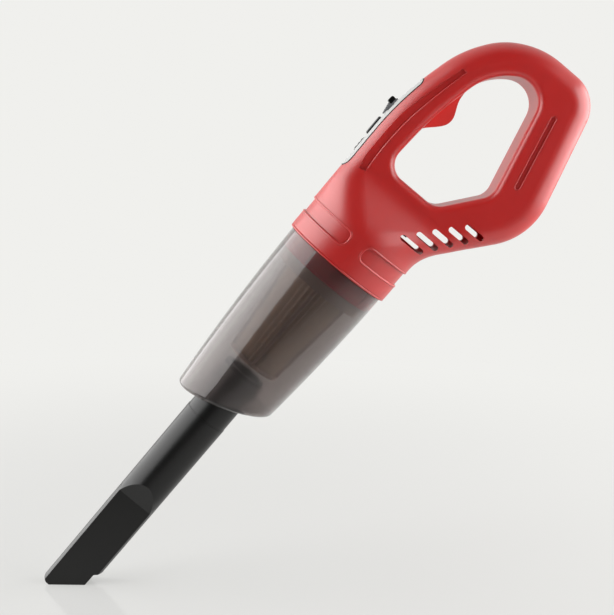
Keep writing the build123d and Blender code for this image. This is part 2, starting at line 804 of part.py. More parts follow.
with BuildPart() as indicator_leds:
    with Locations(*[(x, 0, board_top) for x in lens_x]):
        Box(*led_size, align=(Align.CENTER, Align.CENTER, Align.MIN))
indicator_leds.part.label = "indicator_leds"
export_step(indicator_leds.part, "parts/indicator_leds.step")

# ---------------------------------------------------------------- battery and charging

cell_tilt = atan2(loop_points[4][1] - loop_points[5][1], loop_points[4][0] - loop_points[5][0])
cell_z = (
    loop_points[5][1] + (cell_middle_x - loop_points[5][0]) * tan(cell_tilt)
    - (wall + gap + seat_gap + cell_radius) / cos(cell_tilt)
)
cell_axis = Plane(
    origin=(cell_middle_x, 0, cell_z), x_dir=(0, 1, 0), z_dir=(cos(cell_tilt), 0, sin(cell_tilt)),
)                                   # local y points up, across the cell

with BuildPart() as battery_cell:
    with BuildSketch(cell_axis.offset(-cell_length / 2)):
        Circle(cell_radius)
    extrude(amount=cell_length - cell_cap)
    fillet(battery_cell.edges().filter_by(GeomType.CIRCLE), 0.8)
    with BuildSketch(cell_axis.offset(cell_length / 2 - cell_cap)):
        Circle(0.3 * cell_radius)
    extrude(amount=cell_cap)
battery_cell.part.label = "battery_cell"
export_step(battery_cell.part, "parts/battery_cell.step")

holder_bore = cell_radius + running
holder_end = cell_length / 2 + contact_thickness
with BuildPart() as cell_holder:
    with BuildSketch(cell_axis.offset(-holder_end - holder_wall)):
        Circle(holder_bore + holder_wall)
        Circle(holder_bore, mode=Mode.SUBTRACT)
        with Locations((0, holder_bore)):
            Rectangle(4 * holder_bore, 2 * holder_bore, mode=Mode.SUBTRACT)
    extrude(amount=2 * (holder_end + holder_wall))
    for start in (-holder_end - holder_wall, holder_end):
        with BuildSketch(cell_axis.offset(start)):
            Circle(holder_bore)
            with Locations((0, holder_bore + 0.4 * cell_radius)):
                Rectangle(4 * holder_bore, 2 * holder_bore, mode=Mode.SUBTRACT)
        extrude(amount=holder_wall)
cell_holder.part.label = "cell_holder"
export_step(cell_holder.part, "parts/cell_holder.step")

with BuildPart() as cell_contacts:
    for start in (-holder_end, cell_length / 2):
        with BuildSketch(cell_axis.offset(start)):
            Circle(0.55 * cell_radius)
        extrude(amount=contact_thickness)
cell_contacts.part.label = "cell_contacts"
export_step(cell_contacts.part, "parts/cell_contacts.step")

with BuildPart() as charge_plate:
    with BuildSketch(Plane.XY.offset(charge_board_top - board_thickness)):
        with Locations(((charge_board[0] + charge_board[1]) / 2, 0)):
            Rectangle(charge_board[1] - charge_board[0], 2 * charge_half)
    extrude(amount=board_thickness)
    fillet(charge_plate.edges().filter_by(Axis.Z), 1)
charge_plate.part.label = "charge_board"
export_step(charge_plate.part, "parts/charge_board.step")

with BuildPart() as charging_socket:
    with BuildSketch(Plane.YZ.offset(handle_end - socket_inset)):
        with Locations((0, port_z)):
            SlotOverall(port_size[1], port_size[2])
    extrude(amount=-port_size[0])
    with BuildSketch(Plane.YZ.offset(handle_end - socket_inset)):
        with Locations((0, port_z)):
            SlotOverall(port_size[1] - 2 * socket_wall, port_size[2] - 2 * socket_wall)
            RectangleRounded(0.7 * port_size[1], 0.22 * port_size[2], 0.1, mode=Mode.SUBTRACT)
    extrude(amount=2 * socket_wall - port_size[0], mode=Mode.SUBTRACT)
charging_socket.part.label = "charging_socket"
export_step(charging_socket.part, "parts/charging_socket.step")

with BuildPart() as housing_screws:
    for x, z in screw_points:
        seat = Plane((x, screw_seat, z), z_dir=(0, 1, 0))
        with BuildSketch(seat):
            Circle(head_radius)
        extrude(amount=head_thickness)
        with BuildSketch(seat):
            Circle(screw_radius)
        extrude(amount=-screw_length)
        with BuildSketch(seat.offset(head_thickness)):
            Rectangle(head_radius, head_radius / 4)
            Rectangle(head_radius / 4, head_radius)
        extrude(amount=-head_thickness / 2, mode=Mode.SUBTRACT)
housing_screws.part.label = "housing_screws"
export_step(housing_screws.part, "parts/housing_screws.step")

# ---------------------------------------------------------------- fan housing, fan and motor

with BuildPart() as fan_housing:
    add(turned([
        (-spigot_length, aperture_radius), (-spigot_length, spigot_radius),
        (rib_stations[0] - seat_gap, spigot_radius), (rib_stations[0] - seat_gap, spigot_neck),
        (flange_x, spigot_neck), (flange_x, flange_radius), (mount_x, flange_radius),
        (mount_x, spigot_bore), (front_plate - spigot_length, spigot_bore),
        (front_plate - spigot_length, aperture_radius),
    ]))
    revolve(axis=Axis.X)
    front = fan_housing.faces().sort_by(Axis.X)[0]
    fillet(front.outer_wire().edges(), spigot_round)
    for number in range(pocket_count):
        turn = pocket_first + number * 360 / pocket_count
        outward = (0, -cos(radians(turn)), sin(radians(turn)))
        with BuildSketch(Plane(
            origin=(-spigot_length / 2, *[c * (spigot_radius - pocket_depth) for c in outward[1:]]),
            x_dir=(1, 0, 0), z_dir=outward,
        )):
            RectangleRounded(*pocket_size, pocket_corner)
        extrude(amount=2 * pocket_depth, mode=Mode.SUBTRACT)
fan_housing.part.label = "fan_housing"
export_step(fan_housing.part, "parts/fan_housing.step")

with BuildPart() as motor_mount:
    with BuildSketch(Plane.YZ.offset(mount_x)):
        Circle(flange_radius)
        Circle(motor_boss_radius + seat_gap, mode=Mode.SUBTRACT)
        with PolarLocations(air_hole_circle, air_holes):
            Circle(air_hole_radius, mode=Mode.SUBTRACT)
        with PolarLocations(motor_screw_circle, 2):
            Circle(screw_radius + gap, mode=Mode.SUBTRACT)
    extrude(amount=mount_thickness)
motor_mount.part.label = "motor_mount"
export_step(motor_mount.part, "parts/motor_mount.step")

with BuildPart() as motor_screws:
    with BuildSketch(Plane.YZ.offset(mount_x)):
        with PolarLocations(motor_screw_circle, 2):
            Circle(head_radius)
    extrude(amount=-head_thickness / 2)
    with BuildSketch(Plane.YZ.offset(mount_x)):
        with PolarLocations(motor_screw_circle, 2):
            Circle(screw_radius)
    extrude(amount=mount_thickness + motor_wall)
motor_screws.part.label = "motor_screws"
export_step(motor_screws.part, "parts/motor_screws.step")

with BuildPart() as motor_can:
    add(turned([
        (motor_x - motor_boss_height, bush_radius + running),
        (motor_x - motor_boss_height, motor_boss_radius),
        (motor_x, motor_boss_radius), (motor_x, motor_radius),
        (motor_x + motor_length, motor_radius),
        (motor_x + motor_length, motor_radius - motor_wall),
        (motor_x + motor_wall, motor_radius - motor_wall), (motor_x + motor_wall, bush_radius + running),
    ]))
    revolve(axis=Axis.X)
    fillet(motor_can.edges().filter_by(GeomType.CIRCLE).sort_by(SortBy.RADIUS)[-2:].sort_by(Axis.X)[0], 0.5)
    with BuildSketch(Plane.YZ.offset(motor_x)):
        with PolarLocations(motor_screw_circle, 2):
            Circle(screw_radius + running)
    extrude(amount=2 * motor_wall, mode=Mode.SUBTRACT)
motor_can.part.label = "motor_can"
export_step(motor_can.part, "parts/motor_can.step")

cap_x = motor_x + motor_length
cap_plug = motor_radius - motor_wall - running
core_x = motor_x + armature_start
with BuildPart() as motor_endcap:
    add(turned([
        (cap_x - cap_depth, cap_plug - 2 * motor_wall), (cap_x - cap_depth, cap_plug), (cap_x, cap_plug),
        (cap_x, motor_radius), (cap_x + motor_wall, motor_radius),
        (cap_x + motor_wall, motor_boss_radius), (cap_x + 2 * motor_wall, motor_boss_radius),
        (cap_x + 2 * motor_wall, bush_radius + running),
        (cap_x - motor_wall, bush_radius + running), (cap_x - motor_wall, motor_boss_radius),
        (cap_x, motor_boss_radius), (cap_x, cap_plug - 2 * motor_wall),
    ]))
    revolve(axis=Axis.X)
    with BuildSketch(Plane.YZ.offset(cap_x)):
        with PolarLocations(motor_screw_circle, 2):
            Rectangle(terminal_size[0] + 2 * running, terminal_size[1] + 2 * running)
    extrude(amount=motor_wall, mode=Mode.SUBTRACT)
motor_endcap.part.label = "motor_endcap"
export_step(motor_endcap.part, "parts/motor_endcap.step")

with BuildPart() as motor_terminals:
    with BuildSketch(Plane.YZ.offset(cap_x - cap_depth)):
        with PolarLocations(motor_screw_circle, 2):
            Rectangle(*terminal_size)
    extrude(amount=terminal_length)
motor_terminals.part.label = "motor_terminals"
export_step(motor_terminals.part, "parts/motor_terminals.step")

with BuildPart() as motor_magnets:
    with BuildSketch(Plane.YZ.offset(motor_x + magnet_start)):
        Circle(motor_radius - motor_wall - running)
        Circle(armature_radius + magnet_gap, mode=Mode.SUBTRACT)
        Rectangle(2 * motor_radius, 0.7 * motor_radius, mode=Mode.SUBTRACT)
    extrude(amount=magnet_length)
motor_magnets.part.label = "motor_magnets"
export_step(motor_magnets.part, "parts/motor_magnets.step")

with BuildPart() as motor_bushes:
    for start in (motor_x - motor_boss_height, cap_x - motor_wall):
        with BuildSketch(Plane.YZ.offset(start)):
            Circle(bush_radius)
            Circle(shaft_radius + running, mode=Mode.SUBTRACT)
        extrude(amount=3 * motor_wall)
motor_bushes.part.label = "motor_bushes"
export_step(motor_bushes.part, "parts/motor_bushes.step")

with BuildPart() as motor_armature:
    with BuildSketch(Plane.YZ.offset(core_x)):
        Circle(armature_radius)
        with PolarLocations(0.85 * armature_radius, armature_slots):
            Rectangle(0.5 * armature_radius, 0.22 * armature_radius, mode=Mode.SUBTRACT)
    extrude(amount=armature_length)
    # Coil ends before and behind the core, then the commutator
    with BuildSketch(Plane.YZ.offset(core_x - coil_end)):
        Circle(0.55 * armature_radius)
    extrude(amount=armature_length + 2 * coil_end)
    with BuildSketch(Plane.YZ.offset(core_x + armature_length + coil_end)):
        Circle(0.4 * armature_radius)
    extrude(amount=commutator_length)
    with BuildSketch(Plane.YZ.offset(motor_x)):
        Circle(shaft_radius + running)
    extrude(amount=2 * motor_length, mode=Mode.SUBTRACT)
motor_armature.part.label = "motor_armature"
export_step(motor_armature.part, "parts/motor_armature.step")

with BuildPart() as motor_shaft:
    with BuildSketch(Plane.YZ.offset(shaft_start)):
        Circle(shaft_radius)
    extrude(amount=cap_x + 2.5 * motor_wall - shaft_start)
    chamfer(motor_shaft.edges().filter_by(GeomType.CIRCLE), 0.2)
motor_shaft.part.label = "motor_shaft"
export_step(motor_shaft.part, "parts/motor_shaft.step")

with BuildPart() as motor_damper:
    add(turned([
        (damper_x - damper_flange[0], motor_radius + running),
        (damper_x - damper_flange[0], damper_radius + damper_flange[1]),
        (damper_x - rib_width / 2 - seat_gap, damper_radius + damper_flange[1]),
        (damper_x - rib_width / 2 - seat_gap, damper_radius),
        (damper_x + rib_width / 2 + seat_gap, damper_radius),
        (damper_x + rib_width / 2 + seat_gap, damper_radius + damper_flange[1]),
        (damper_x + damper_flange[0], damper_radius + damper_flange[1]),
        (damper_x + damper_flange[0], motor_radius + running),
    ]))
    revolve(axis=Axis.X)
motor_damper.part.label = "motor_damper"
export_step(motor_damper.part, "parts/motor_damper.step")

with BuildPart() as impeller:
    with BuildSketch(Plane.YZ.offset(impeller_back)):
        Circle(impeller_radius)
    extrude(amount=-backplate)
    with BuildSketch(Plane.XY):
        with BuildLine():
            nose = Spline(
                (impeller_back - backplate, 2 * hub_radius), (shaft_start + 2, hub_radius),
                (shaft_start - 1, 0), tangents=[(-1, -0.6), (0, -1)],
            )
            Polyline(nose @ 1, (impeller_back - backplate, 0), nose @ 0)
        make_face()
    revolve(axis=Axis.X)
    with BuildSketch(Plane.YZ.offset(impeller_back - backplate)):
        with PolarLocations(0, impeller_blades):
            with BuildLine():
                ThreePointArc(
                    (0.25 * impeller_radius, 0), (0.62 * impeller_radius, 0.2 * impeller_radius),
                    (0.8 * impeller_radius, 0.55 * impeller_radius),
                )
            trace(line_width=blade_thickness)
    extrude(amount=-blade_height)
    with BuildSketch(Plane.YZ.offset(impeller_back)):
        Circle(shaft_radius + running)
    extrude(amount=shaft_start - running - impeller_back, mode=Mode.SUBTRACT)
impeller.part.label = "impeller"
export_step(impeller.part, "parts/impeller.step")

# ---------------------------------------------------------------- filter

flange_back = -spigot_length - seal_thickness
filter_start = flange_back - filter_flange

with BuildPart() as filter_seal:
    with BuildSketch(Plane.YZ.offset(-spigot_length)):
        Circle(filter_flange_radius)
        Circle(aperture_radius + seal_inset, mode=Mode.SUBTRACT)
    extrude(amount=-seal_thickness)
filter_seal.part.label = "filter_seal"
export_step(filter_seal.part, "parts/filter_seal.step")

sleeve_radius = aperture_radius - push_fit
filter_end = filter_start - filter_length
cage_base = filter_base_radius + seat_gap
cage_tip = filter_tip_radius + seat_gap
with BuildPart() as filter_frame:
    add(turned([
        (filter_start, filter_bore), (filter_start, filter_flange_radius),
        (flange_back, filter_flange_radius), (flange_back, sleeve_radius),
        (-spigot_length + front_plate - gap, sleeve_radius),
        (-spigot_length + front_plate - gap, filter_bore),
    ]))
    revolve(axis=Axis.X)
    for number in range(filter_ribs):
        turn = radians(number * 360 / filter_ribs)
        with BuildSketch(Plane(origin=(0, 0, 0), x_dir=(1, 0, 0), z_dir=(0, -sin(turn), cos(turn)))):
            with BuildLine():
                Polyline(
                    (filter_start, cage_base), (filter_start, cage_base + cage_height),
                    (filter_end, cage_tip + cage_height), (filter_end, cage_tip), close=True,
                )
            make_face()
        extrude(amount=cage_width / 2, both=True)
    with BuildSketch(Plane.YZ.offset(filter_end)):
        Circle(cage_tip + cage_height)
    extrude(amount=-filter_cap)
    fillet(filter_frame.faces().sort_by(Axis.X)[0].edges(), filter_cap / 2)
filter_frame.part.label = "filter_frame"
export_step(filter_frame.part, "parts/filter_frame.step")


def pleated(x, outer):
    """A ring of pleats at x whose crests lie at the outer radius."""
    points = []
    for step in range(2 * filter_pleats):
        radius = outer - (step % 2) * pleat_depth
        angle = pi * step / filter_pleats
        points.append((radius * cos(angle), radius * sin(angle)))
    with BuildSketch(Plane.YZ.offset(x)) as ring:
        with BuildLine():
            Polyline(*points, close=True)
        make_face()
    return ring.sketch


with BuildPart() as filter_element:
    add(pleated(filter_start, filter_base_radius))
    add(pleated(filter_end, filter_tip_radius))
    loft(ruled=True)
    for x, radius in ((filter_start, filter_base_radius), (filter_end, filter_tip_radius)):
        with BuildSketch(Plane.YZ.offset(x)):
            Circle(radius - 1.8 * pleat_depth)
    loft(mode=Mode.SUBTRACT)
filter_element.part.label = "filter_element"
export_step(filter_element.part, "parts/filter_element.step")

# ---------------------------------------------------------------- dust cup

with BuildPart() as cup_seal:
    with BuildSketch(Plane.YZ.offset(cup_rim_x + running)):
        Circle(cup_rim_radius - gap)
        Circle(spigot_radius + running, mode=Mode.SUBTRACT)
    extrude(amount=-cup_rim_x - 2 * running)
cup_seal.part.label = "cup_seal"
export_step(cup_seal.part, "parts/cup_seal.step")

slant = radians(cup_front_slant)
cup_front_plane = Plane(
    origin=(cup_front_top[0], 0, cup_front_top[1]), x_dir=(0, 1, 0), z_dir=(cos(slant), 0, sin(slant)),
)
cup_bore = spigot_radius + push_fit
sleeve_bore = nozzle_spigot_radius + running
sleeve_outer = sleeve_bore + sleeve_wall

with BuildPart() as dust_cup:
    with BuildSketch(Plane.XY):
        with BuildLine():
            outside = Spline((cup_rim_x, cup_rim_radius), cup_middle, cup_front)
            Polyline(outside @ 1, (cup_front[0], 0), (cup_rim_x, 0), outside @ 0)
        make_face()
    revolve(axis=Axis.X)
    split(bisect_by=cup_front_plane, keep=Keep.TOP)
    fillet(dust_cup.faces().sort_by(Axis.X)[0].edges(), cup_rim_round)
    with BuildPart(mode=Mode.SUBTRACT):
        with BuildSketch(Plane.XY):
            with BuildLine():
                inside = Spline(
                    (-spigot_length - 1, cup_bore), (cup_middle[0], cup_middle[1] - cup_wall),
                    (cup_front[0], cup_front[1] - cup_wall),
                )
                Polyline(
                    inside @ 1, (cup_front[0], 0), (1, 0), (1, cup_bore), inside @ 0,
                )
            make_face()
        revolve(axis=Axis.X)
        split(bisect_by=cup_front_plane.offset(cup_front_thickness), keep=Keep.TOP)
    # Sleeve that holds the nozzle, trimmed to the slanted front
    with BuildPart(mode=Mode.PRIVATE) as sleeve:
        with BuildSketch(Plane.YZ.offset(sleeve_end)):
            Circle(sleeve_outer)
        extrude(amount=cup_front[0] - sleeve_end)
        split(bisect_by=cup_front_plane.offset(cup_front_thickness / 2), keep=Keep.TOP)
    add(sleeve.part)
    with BuildSketch(Plane.YZ.offset(sleeve_end + 1)):
        Circle(sleeve_bore)
    extrude(amount=2 * cup_front[0], mode=Mode.SUBTRACT)
    # Latch notch under the rim
    with BuildSketch(Plane.XY.offset(-spigot_bore)):
        with Locations((cup_rim_x, 0)):
            RectangleRounded(2 * cup_notch[0], cup_notch[1], 2)
    extrude(amount=-barrel_radius, mode=Mode.SUBTRACT)
dust_cup.part.label = "dust_cup"
export_step(dust_cup.part, "parts/dust_cup.step")

# ---------------------------------------------------------------- nozzle

groove_radius = nozzle_spigot_radius - groove_depth_seal
with BuildPart() as nozzle_seal:
    with BuildSketch(Plane.YZ.offset(seal_x - seal_width / 2)):
        Circle(nozzle_spigot_radius + 0.4 * running)
        Circle(groove_radius + running, mode=Mode.SUBTRACT)
    extrude(amount=seal_width)
nozzle_seal.part.label = "nozzle_seal"
export_step(nozzle_seal.part, "parts/nozzle_seal.step")


def nozzle_body(inset, start, end):
    """The nozzle's tapering tube moved inwards by inset, between two places on its axis."""
    with BuildPart() as body:
        for x, radius in ((nozzle_shoulder, nozzle_radius), (end, nozzle_tip_radius)):
            with BuildSketch(Plane.YZ.offset(x)):
                Circle(radius - inset)
        loft()
        with BuildSketch(Plane.XY.offset(-barrel_radius)):
            with BuildLine():
                Polyline(
                    (flat_start, nozzle_radius - inset), (flat_full, flat_half - inset),
                    (2 * nozzle_tip, flat_half - inset), (2 * nozzle_tip, 3 * nozzle_radius),
                    (flat_start, 3 * nozzle_radius), close=True,
                )
            make_face()
            mirror(about=Plane.XZ)
        extrude(amount=2 * barrel_radius, mode=Mode.SUBTRACT)
        with BuildSketch(Plane.YZ.offset(start)):
            Circle(nozzle_spigot_radius - inset)
        extrude(amount=nozzle_shoulder - start)
    return body.part


with BuildPart() as crevice_nozzle:
    add(nozzle_body(0, nozzle_inner_end, nozzle_tip))
    # Slanted mouth with its notch
    with BuildSketch(side):
        with BuildLine():
            Polyline(*nozzle_mouth, close=True)
        make_face()
    extrude(amount=barrel_radius, both=True, mode=Mode.SUBTRACT)
    tip = crevice_nozzle.faces().sort_by(Axis.X)[0]
    fillet(tip.edges().sort_by(Axis.Z)[-1], nose_round)
    add(nozzle_body(nozzle_wall, nozzle_inner_end + 1, nozzle_tip + nozzle_wall), mode=Mode.SUBTRACT)
    with BuildSketch(Plane.YZ.offset(seal_x - seal_width / 2 - running)):
        Circle(barrel_radius)
        Circle(groove_radius, mode=Mode.SUBTRACT)
    extrude(amount=seal_width + 2 * running, mode=Mode.SUBTRACT)
crevice_nozzle.part.label = "crevice_nozzle"
export_step(crevice_nozzle.part, "parts/crevice_nozzle.step")
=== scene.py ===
"""Handheld vacuum: finishes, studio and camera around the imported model."""

import json

import bpy
import numpy as np
from mathutils import Matrix, Vector
from mathutils.bvhtree import BVHTree


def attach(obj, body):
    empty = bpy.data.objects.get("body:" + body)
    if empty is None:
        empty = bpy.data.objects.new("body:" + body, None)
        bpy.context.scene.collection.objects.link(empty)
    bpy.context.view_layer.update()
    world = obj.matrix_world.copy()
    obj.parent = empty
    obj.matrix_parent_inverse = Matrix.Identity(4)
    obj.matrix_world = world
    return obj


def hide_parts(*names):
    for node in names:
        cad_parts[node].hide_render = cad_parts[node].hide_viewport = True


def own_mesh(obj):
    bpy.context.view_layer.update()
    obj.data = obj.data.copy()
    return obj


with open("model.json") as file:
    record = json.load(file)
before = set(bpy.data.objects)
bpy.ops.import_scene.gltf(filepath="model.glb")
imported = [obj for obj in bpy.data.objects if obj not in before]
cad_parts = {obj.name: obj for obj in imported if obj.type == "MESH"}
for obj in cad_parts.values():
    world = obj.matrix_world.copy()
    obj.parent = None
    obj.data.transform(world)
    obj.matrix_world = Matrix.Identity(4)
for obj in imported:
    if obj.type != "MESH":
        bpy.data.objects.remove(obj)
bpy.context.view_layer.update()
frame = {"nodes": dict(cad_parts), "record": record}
nodes = frame["nodes"]

# ---------------------------------------------------------------- camera

CAMERA_PLACE = (0.04374, -0.58434, 0.03663)
CAMERA_RIGHT = (0.6426, 0.0262, -0.7658)
CAMERA_UP = (0.7567, 0.1357, 0.6396)
CAMERA_BACK = (0.1206, -0.9904, 0.0674)
LENS = 69.07

camera_data = bpy.data.cameras.new("camera")
camera_data.lens = LENS
camera_data.sensor_width = 36.0
camera_data.clip_start = 0.01
camera_data.clip_end = 50.0
camera = bpy.data.objects.new("camera", camera_data)
bpy.context.scene.collection.objects.link(camera)
camera.matrix_world = Matrix.Translation(CAMERA_PLACE) @ Matrix(
    (CAMERA_RIGHT, CAMERA_UP, CAMERA_BACK)
).transposed().to_4x4()
bpy.context.scene.camera = camera
bpy.context.scene.view_settings.view_transform = "Standard"

# ---------------------------------------------------------------- finishes


class Finish:
    """A node material: helpers that add nodes and join sockets."""

    def __init__(self, name):
        self.material = bpy.data.materials.new(name)
        self.material.use_nodes = True
        self.tree = self.material.node_tree
        self.tree.nodes.clear()
        self.output = self.tree.nodes.new("ShaderNodeOutputMaterial")
        self.shader = self.tree.nodes.new("ShaderNodeBsdfPrincipled")
        self.join(self.shader, "BSDF", self.output, "Surface")
        self.place = self.tree.nodes.new("ShaderNodeTexCoord")

    def join(self, start, out_name, end, in_name):
        self.tree.links.new(start.outputs[out_name], end.inputs[in_name])

    def set(self, **values):
        """Constant values straight on the shader's own sockets."""
        for key, value in values.items():
            self.shader.inputs[key.replace("_", " ")].default_value = value
        return self

    def grain(self, scale, detail=2.0, stretch=(1, 1, 1)):
        """Noise over object coordinates, about 1/scale metres across a grain."""
        mapping = self.tree.nodes.new("ShaderNodeMapping")
        mapping.inputs["Scale"].default_value = stretch
        noise = self.tree.nodes.new("ShaderNodeTexNoise")
        noise.inputs["Scale"].default_value = scale
        noise.inputs["Detail"].default_value = detail
        self.join(self.place, "Object", mapping, "Vector")
        self.join(mapping, "Vector", noise, "Vector")
        return noise

    def ramp(self, source, low, high, start=0.35, end=0.65, out_name="Fac"):
        """Two tones spread over a texture's middle values."""
        ramp = self.tree.nodes.new("ShaderNodeValToRGB")
        ramp.color_ramp.elements[0].position = start
        ramp.color_ramp.elements[1].position = end
        ramp.color_ramp.elements[0].color = (*low, 1)
        ramp.color_ramp.elements[1].color = (*high, 1)
        self.join(source, out_name, ramp, "Fac")
        return ramp

    def tone(self, colour, spread, scale, detail=3.0):
        """Base colour that wanders a little lighter and darker."""
        low = tuple(c * (1 - spread) for c in colour)
        high = tuple(min(c * (1 + spread), 1) for c in colour)
        self.join(self.ramp(self.grain(scale, detail), low, high), "Color", self.shader, "Base Color")
        return self

    def roughness(self, low, high, scale, detail=3.0):
        """Roughness that wanders between two values."""
        spread = self.tree.nodes.new("ShaderNodeMapRange")
        spread.inputs["To Min"].default_value = low
        spread.inputs["To Max"].default_value = high
        spread.inputs["From Min"].default_value = 0.3
        spread.inputs["From Max"].default_value = 0.7
        self.join(self.grain(scale, detail), "Fac", spread, "Value")
        self.join(spread, "Result", self.shader, "Roughness")
        return self

    def bump(self, layers):
        """Stacked bumps: each layer is (texture node, output name, strength, depth in metres)."""
        before = None
        for texture, out_name, strength, depth in layers:
            node = self.tree.nodes.new("ShaderNodeBump")
            node.inputs["Strength"].default_value = strength
            node.inputs["Distance"].default_value = depth
            self.join(texture, out_name, node, "Height")
            if before is not None:
                self.join(before, "Normal", node, "Normal")
            before = node
        self.join(before, "Normal", self.shader, "Normal")
        return self

    def bands(self, scale, axis, profile="SIN"):
        """Parallel bands across an object axis, scale to the metre."""
        wave = self.tree.nodes.new("ShaderNodeTexWave")
        wave.bands_direction = axis
        wave.wave_profile = profile
        wave.inputs["Scale"].default_value = scale
        self.join(self.place, "Object", wave, "Vector")
        return wave


def moulded(name, colour, rough, spread=0.04, grain=3800.0, depth=0.00004, coat=0.0, sway=0.05):
    """Moulded plastic: a fine spark-eroded skin over slow changes in tone and gloss."""
    made = Finish(name)
    made.tone(colour, spread, 35.0).roughness(rough - sway, rough + sway, 60.0)
    made.bump([(made.grain(grain, 1.0), "Fac", 0.2, depth)])
    if coat:
        made.set(Coat_Weight=coat, Coat_Roughness=0.08)
    return made


def metal(name, colour, rough, stretch=(1, 1, 1), grain=1500.0):
    """Bare or plated metal with a drawn or turned grain."""
    made = Finish(name)
    made.tone(colour, 0.08, 120.0).roughness(rough - 0.08, rough + 0.08, 300.0).set(Metallic=1.0)
    made.bump([(made.grain(grain, 2.0, stretch), "Fac", 0.25, 0.00003)])
    return made


housing_red = moulded("housing_red", (0.55, 0.012, 0.010), 0.36, spread=0.02, depth=0.000006, sway=0.012)
housing_red.set(
    Specular_IOR_Level=1.0, Subsurface_Weight=0.5, Subsurface_Radius=(1.0, 0.12, 0.08),
    Subsurface_Scale=0.006,
)
# The trigger's red is lighter than the housing's: partly its own colour, partly painted light against the
# shade it partly sits in
trigger_red = moulded("trigger_red", (0.90, 0.045, 0.038), 0.34, spread=0.02, depth=0.000006, sway=0.012)
trigger_red.set(Specular_IOR_Level=0.9)
panel_grey = moulded("panel_grey", (0.56, 0.56, 0.55), 0.36, grain=5200.0, depth=0.00002)
dark_window = moulded("dark_window", (0.008, 0.008, 0.009), 0.14, depth=0.00001, coat=0.15)
slider_grey = moulded("slider_grey", (0.20, 0.20, 0.21), 0.42)
black_plastic = moulded(
    "black_plastic", (0.004, 0.0038, 0.0035), 0.33, spread=0.1, grain=3200.0, depth=0.00001, sway=0.02
)
black_plastic.set(Specular_IOR_Level=0.42)
mount_black = moulded("mount_black", (0.028, 0.028, 0.029), 0.5, spread=0.1)
# Paler than the filter frame's own brown: partly its colour, partly painted light against the shade inside
# the cup
filter_rim_with_painted_light = moulded("filter_rim_with_painted_light", (0.60, 0.48, 0.40), 0.5, spread=0.1)
# Brighter than the housing's red: partly its colour, partly painted light against the shade inside the cup
spigot_red_with_painted_light = moulded("spigot_red_with_painted_light", (0.90, 0.06, 0.07), 0.4, spread=0.02, depth=0.000006, sway=0.012)
fan_white = moulded("fan_white", (0.72, 0.71, 0.68), 0.4)
rubber_dark = moulded("rubber_dark", (0.018, 0.018, 0.018), 0.75, spread=0.15, grain=2500.0, depth=0.00006)
rubber_dark.set(Specular_IOR_Level=0.2)
led_white = moulded("led_white", (0.85, 0.82, 0.62), 0.25)
cell_wrap = moulded("cell_wrap", (0.045, 0.12, 0.30), 0.22, grain=900.0, depth=0.00002, coat=0.3)
motor_steel = metal("motor_steel", (0.60, 0.60, 0.61), 0.32, (0.05, 1, 1))
spring_steel = metal("spring_steel", (0.52, 0.52, 0.53), 0.28)
magnet_grey = metal("magnet_grey", (0.16, 0.16, 0.17), 0.6)
copper_brass = metal("copper_brass", (0.72, 0.40, 0.18), 0.34)
board_green = moulded("board_green", (0.018, 0.16, 0.055), 0.3, spread=0.15, grain=1800.0, coat=0.4)

smoky_clear = Finish("smoky_clear")
smoky_clear.set(Transmission_Weight=0.94, IOR=1.2, Coat_Weight=0.8, Coat_Roughness=0.03)
smoky_clear.tone((0.385, 0.345, 0.335), 0.02, 30.0).roughness(0.22, 0.26, 80.0)

# The cloth's tan is lighter than the cloth's own: partly its colour, partly painted light standing in for the
# lamp light that the cup keeps off the filter
filter_cloth = Finish("filter_cloth")
filter_cloth.tone((0.92, 0.77, 0.62), 0.1, 700.0, 4.0).set(Roughness=0.9, Sheen_Weight=0.3)
weave_along = filter_cloth.bands(420.0, "X")
weave_across = filter_cloth.bands(420.0, "Z")
filter_cloth.bump([
    (weave_along, "Fac", 0.3, 0.00008),
    (weave_across, "Fac", 0.3, 0.00008),
    (filter_cloth.grain(2600.0, 3.0), "Fac", 0.5, 0.0001),
])

finishes = {
    "housing_red": housing_red, "trigger_red": trigger_red, "panel_grey": panel_grey,
    "dark_window": dark_window, "slider_grey": slider_grey, "black_plastic": black_plastic,
    "smoky_clear": smoky_clear, "filter_cloth": filter_cloth, "rubber_dark": rubber_dark,
    "motor_steel": motor_steel, "fan_white": fan_white, "mount_black": mount_black,
    "magnet_grey": magnet_grey, "copper_brass": copper_brass, "spring_steel": spring_steel,
    "board_green": board_green, "cell_wrap": cell_wrap, "led_white": led_white,
}
for entry in frame["record"]["subparts"]:
    node = nodes[entry["node"]]
    node.data.materials.clear()
    node.data.materials.append(finishes[entry["material_slot"]].material)
# Seen through the smoky cup, these three get tones lighter than their own: partly their colour, partly
# painted light against the shade inside the cup
for name, finish in (("filter_frame", filter_rim_with_painted_light), ("filter_seal", filter_rim_with_painted_light), ("fan_housing", spigot_red_with_painted_light)):
    nodes[name].data.materials[0] = finish.material

# ---------------------------------------------------------------- lips, ticks and painted shade line

